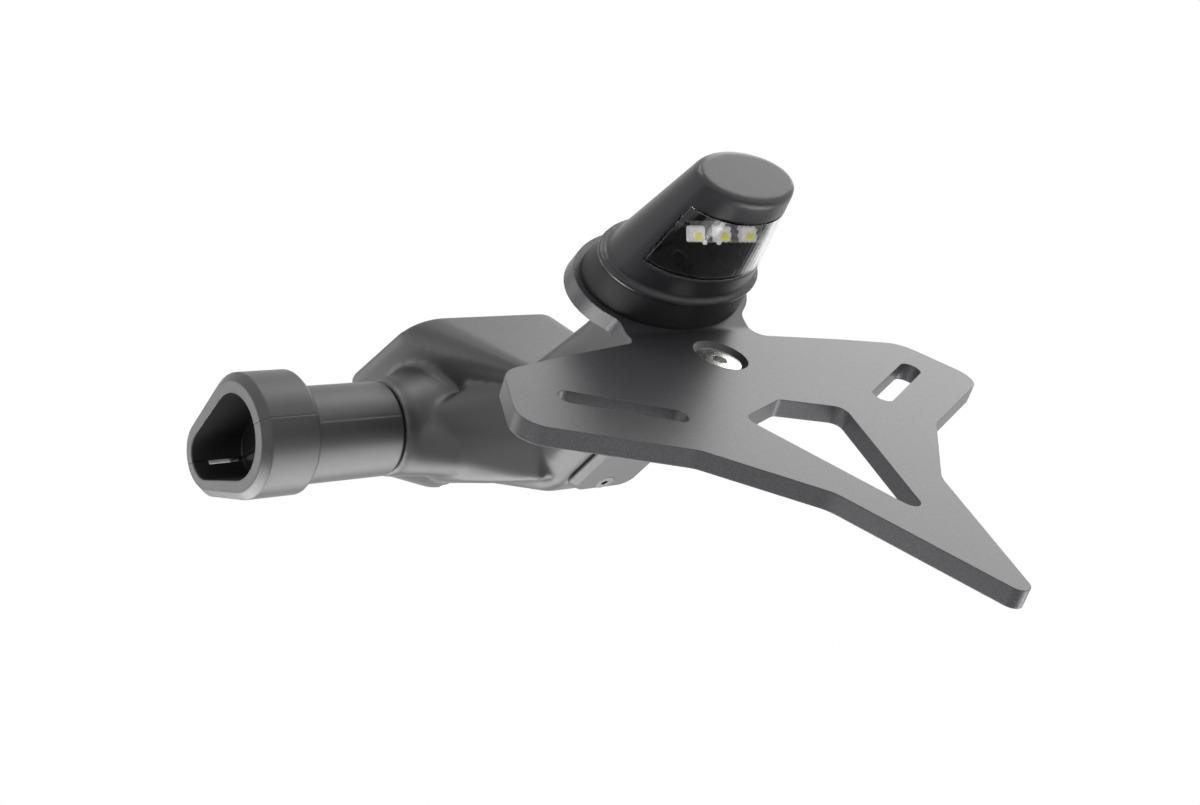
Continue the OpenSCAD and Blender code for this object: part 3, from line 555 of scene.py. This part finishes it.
# Small blocks that keep the window's two upper corners shut where the housing is softened, in the tab's frame
CORNER_AT = Vector((-16.0, 14.0, 35.0))
CORNER_HALF = 0.7
WINDOW_CORNER = [tuple(IN_TAB @ (CORNER_AT + Vector((i, j, k)) * CORNER_HALF))
                 for i in (-1, 1) for j in (-1, 1) for k in (-1, 1)]

blended("spine_shell", "spine_body", "body_plastic", VOXEL_MM, BODY_SMOOTHING,
        both_sides(HUB_SIDE) + [ARM_END])
blended("lamp_shell", "lamp_housing", "lamp_plastic", LAMP_VOXEL_MM, LAMP_SMOOTHING,
        both_sides(WINDOW_CORNER))

# The camera, fitted to the photo together with the part's sizes
CAMERA_AT = Vector((-324.8, -406.2, -181.9)) * MM
LOOK = Vector((0.654, 0.704, 0.277)).normalized()
UP = Vector((0.065, -0.417, 0.906))
UP = (UP - UP.dot(LOOK) * LOOK).normalized()
RIGHT = LOOK.cross(UP)
SENSOR_MM = 36.0
FOCAL_PIXELS = 1756.6
PHOTO_W = 1200
NEAREST = 0.01
FARTHEST = 20

camera_data = bpy.data.cameras.new("camera")
camera_data.sensor_fit = "HORIZONTAL"
camera_data.sensor_width = SENSOR_MM
camera_data.lens = FOCAL_PIXELS * SENSOR_MM / PHOTO_W
camera_data.clip_start = NEAREST
camera_data.clip_end = FARTHEST
camera = bpy.data.objects.new("camera", camera_data)
camera.matrix_world = Matrix.Translation(CAMERA_AT) @ Matrix((RIGHT, UP, -LOOK)).transposed().to_4x4()
bpy.context.scene.collection.objects.link(camera)
bpy.context.scene.camera = camera


# World and floor
SKY_COLOUR = (0.96, 0.98, 1.0, 1.0)
SKY_STRENGTH = 0.4
WHITE = (1, 1, 1, 1)
FLOOR_Z = -0.6
FLOOR_HALF = 1.6
FLOOR_GREY = 0.8
FLOOR_ROUGHNESS = 0.9


def camera_sees_white(tree, others):
    """A mix that gives its second shader to camera, glossy and transmission rays, and others to the rest."""
    add = tree.nodes.new
    path = add("ShaderNodeLightPath")
    previous = path.outputs["Is Camera Ray"]
    for name in ("Is Glossy Ray", "Is Transmission Ray"):
        both = add("ShaderNodeMath")
        both.operation = "MAXIMUM"
        tree.links.new(previous, both.inputs[0])
        tree.links.new(path.outputs[name], both.inputs[1])
        previous = both.outputs[0]
    mix = add("ShaderNodeMixShader")
    tree.links.new(previous, mix.inputs[0])
    tree.links.new(others, mix.inputs[1])
    return mix


world = bpy.data.worlds.new("studio")
bpy.context.scene.world = world
world.use_nodes = True
world.cycles.sampling_method = "NONE"
tree = world.node_tree
plain = tree.nodes["Background"]
plain.inputs["Color"].default_value = SKY_COLOUR
plain.inputs["Strength"].default_value = SKY_STRENGTH
white = tree.nodes.new("ShaderNodeBackground")
white.inputs["Color"].default_value = WHITE
white.inputs["Strength"].default_value = 1.0
mix = camera_sees_white(tree, plain.outputs[0])
tree.links.new(white.outputs[0], mix.inputs[2])
tree.links.new(mix.outputs[0], tree.nodes["World Output"].inputs["Surface"])

floor_mesh = bpy.data.meshes.new("floor")
floor_corners = [(x * FLOOR_HALF, y * FLOOR_HALF, FLOOR_Z) for x, y in ((-1, -1), (1, -1), (1, 1), (-1, 1))]
floor_mesh.from_pydata(floor_corners, [], [(0, 1, 2, 3)])
floor = bpy.data.objects.new("floor", floor_mesh)
bpy.context.scene.collection.objects.link(floor)
floor_mat = bpy.data.materials.new("floor")
floor_mat.use_nodes = True
floor_shader = floor_mat.node_tree.nodes["Principled BSDF"]
floor_shader.inputs["Base Color"].default_value = (FLOOR_GREY, FLOOR_GREY, FLOOR_GREY, 1)
floor_shader.inputs["Roughness"].default_value = FLOOR_ROUGHNESS
floor_mesh.materials.append(floor_mat)


# Lamps, aimed near the middle of the part
CENTRE = Vector((0.0, -0.06, -0.05))


def place_lamp(name, direction, distance, size, radiance):
    """Puts a rectangular lamp at a distance from the middle, seen in reflections but not by the camera."""
    data = bpy.data.lights.new(name, "AREA")
    data.shape = "RECTANGLE"
    data.size, data.size_y = size
    data.energy = radiance * math.pi * size[0] * size[1]
    away = Vector(direction).normalized()
    obj = bpy.data.objects.new(name, data)
    facing = (-away).to_track_quat("-Z", "Y").to_matrix().to_4x4()
    obj.matrix_world = Matrix.Translation(CENTRE + away * distance) @ facing
    obj.visible_camera = False
    bpy.context.scene.collection.objects.link(obj)


# Name, direction from the middle, distance and size in metres, and radiance
place_lamp("below", (0.32, 0.18, -0.9), 0.55, (0.78, 0.68), 3.9)
place_lamp("below_left", (-0.6, 0.42, -0.68), 0.55, (0.34, 0.34), 5.2)
place_lamp("front_left", (-0.35, 0.84, -0.42), 0.6, (0.34, 0.34), 5.5)
place_lamp("left", (-0.6, 0.7, 0.32), 1.0, (0.6, 0.5), 1.5)
place_lamp("right", (0.76, -0.2, 0.62), 1.0, (0.9, 0.7), 2.0)
place_lamp("above", (-0.05, -0.5, 0.86), 0.9, (0.5, 0.5), 2.6)

bpy.context.scene.view_settings.view_transform = "Standard"
